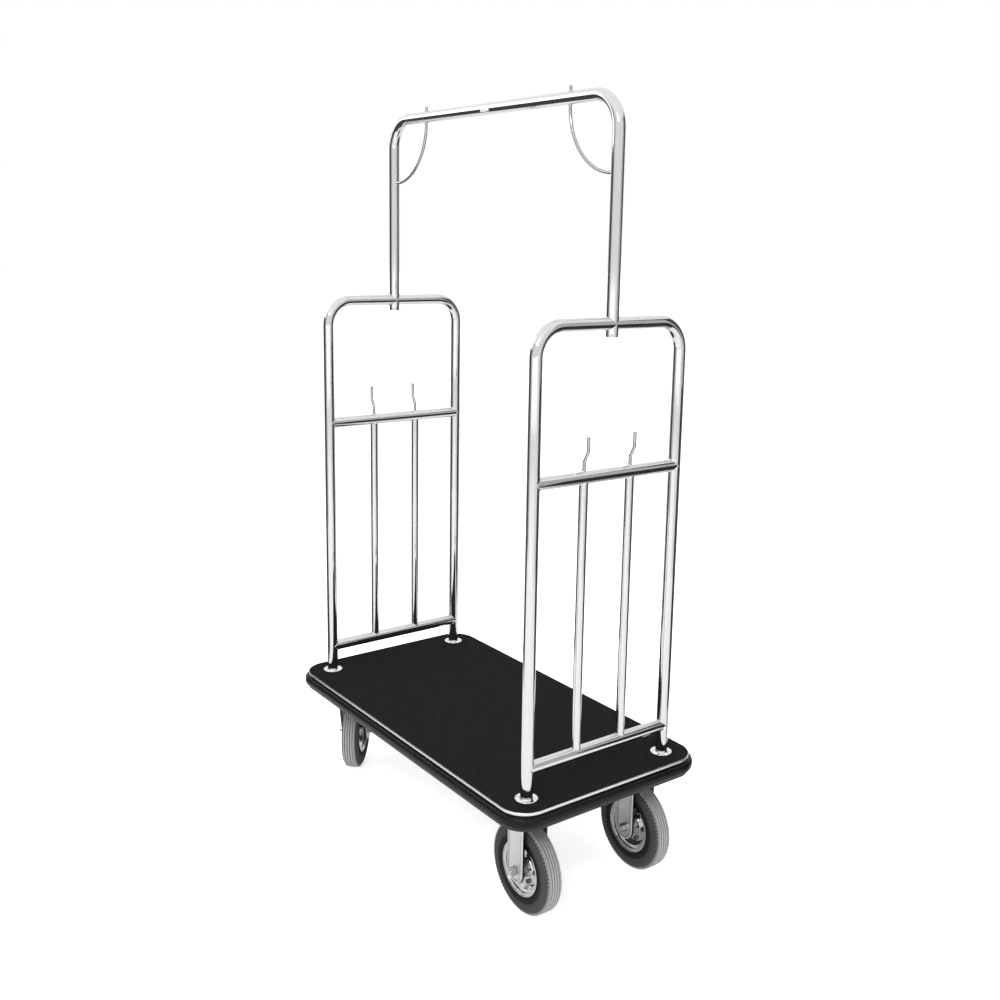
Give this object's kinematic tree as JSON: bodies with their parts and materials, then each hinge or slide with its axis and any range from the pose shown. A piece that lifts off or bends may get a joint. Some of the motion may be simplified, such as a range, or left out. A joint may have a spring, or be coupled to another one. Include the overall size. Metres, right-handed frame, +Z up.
{
  "type": "hotel luggage cart",
  "caption": "Hotel luggage cart with a carpeted deck, bumper edge, end hoops with coat hooks, a garment arch, fixed front casters and swivel rear casters.",
  "frame": {"origin": "on the floor, under the middle of the deck", "axes": "+X along the cart towards the fixed casters, +Y to the left side, +Z up"},
  "size_m": [1.1189, 0.588, 1.921],
  "materials": {
    "plywood": "sanded plywood",
    "carpet": "black needle-punched carpet",
    "edge_metal": "bright satin",
    "bumper_vinyl": "semi-matt black vinyl",
    "zinc_fasteners": "zinc plated",
    "frame_steel": "black powder coat",
    "chrome_tube": "mirror polished",
    "chrome_rod": "mirror polished",
    "plug_steel": "plain machined",
    "label_foil": "matt foil",
    "flange_chrome": "polished",
    "caster_zinc": "bright zinc plated",
    "bearing_steel": "ground steel",
    "tyre_rubber": "grey rubber",
    "rim_steel": "plated pressed steel",
    "hub_chrome": "plated",
    "rim_bolt_dark": "dark zinc"
  },
  "bodies": {
    "cart": {"arch_plugs": "plug_steel", "arch_saddle_caps": "chrome_tube", "arch_screws": "zinc_fasteners", "arch_tube": "chrome_tube", "balusters": "chrome_tube", "blank_label": "label_foil", "bumper": "bumper_vinyl", "caster_bolts": "zinc_fasteners", "caster_nuts": "zinc_fasteners", "coat_hooks": "chrome_rod", "corner_plates": "frame_steel", "cross_rails": "frame_steel", "deck_board": "plywood", "deck_carpet": "carpet", "deck_screws": "zinc_fasteners", "edge_trim": "edge_metal", "foot_flanges": "flange_chrome", "front_axle_spacers": "bearing_steel", "front_axles": "zinc_fasteners", "front_hoop": "chrome_tube", "hanger_stops": "chrome_rod", "kingpin_nuts": "zinc_fasteners", "kingpins": "bearing_steel", "leg_bolts": "zinc_fasteners", "leg_plugs": "plug_steel", "lower_bars": "chrome_tube", "rear_hoop": "chrome_tube", "rigid_forks": "caster_zinc", "side_rails": "frame_steel", "swivel_balls": "bearing_steel", "swivel_plates": "caster_zinc", "trim_screws": "zinc_fasteners", "upper_bars": "chrome_tube"},
    "front_left_wheel": {"front_left_tyre": "tyre_rubber", "front_left_rim_halves": "rim_steel", "front_left_hub": "hub_chrome", "front_left_bearings": "bearing_steel", "front_left_rim_bolts": "rim_bolt_dark"},
    "front_right_wheel": {"front_right_tyre": "tyre_rubber", "front_right_rim_halves": "rim_steel", "front_right_hub": "hub_chrome", "front_right_bearings": "bearing_steel", "front_right_rim_bolts": "rim_bolt_dark"},
    "rear_left_wheel": {"rear_left_tyre": "tyre_rubber", "rear_left_rim_halves": "rim_steel", "rear_left_hub": "hub_chrome", "rear_left_bearings": "bearing_steel", "rear_left_rim_bolts": "rim_bolt_dark"},
    "rear_right_wheel": {"rear_right_tyre": "tyre_rubber", "rear_right_rim_halves": "rim_steel", "rear_right_hub": "hub_chrome", "rear_right_bearings": "bearing_steel", "rear_right_rim_bolts": "rim_bolt_dark"},
    "rear_left_swivel": {"rear_left_fork": "caster_zinc", "rear_left_axle": "zinc_fasteners", "rear_left_axle_spacers": "bearing_steel"},
    "rear_right_swivel": {"rear_right_fork": "caster_zinc", "rear_right_axle": "zinc_fasteners", "rear_right_axle_spacers": "bearing_steel"}
  },
  "joints": [
    {"name": "front_left_roll", "type": "hinge", "parent": "cart", "child": "front_left_wheel", "pos_m": [0.431, 0.1725, 0.1125], "axis": [0, 1, 0], "continuous": true},
    {"name": "front_right_roll", "type": "hinge", "parent": "cart", "child": "front_right_wheel", "pos_m": [0.431, -0.1725, 0.1125], "axis": [0, 1, 0], "continuous": true},
    {"name": "rear_left_turn", "type": "hinge", "parent": "cart", "child": "rear_left_swivel", "pos_m": [-0.431, 0.1725, 0.264], "axis": [0, 0, 1], "continuous": true},
    {"name": "rear_left_roll", "type": "hinge", "parent": "rear_left_swivel", "child": "rear_left_wheel", "pos_m": [-0.4704, 0.20328, 0.1125], "axis": [0.6157, 0.788, 0], "continuous": true},
    {"name": "rear_right_turn", "type": "hinge", "parent": "cart", "child": "rear_right_swivel", "pos_m": [-0.431, -0.1725, 0.264], "axis": [0, 0, 1], "continuous": true},
    {"name": "rear_right_roll", "type": "hinge", "parent": "rear_right_swivel", "child": "rear_right_wheel", "pos_m": [-0.46874, -0.1397, 0.1125], "axis": [0.6561, 0.7547, 0], "continuous": true}
  ]
}
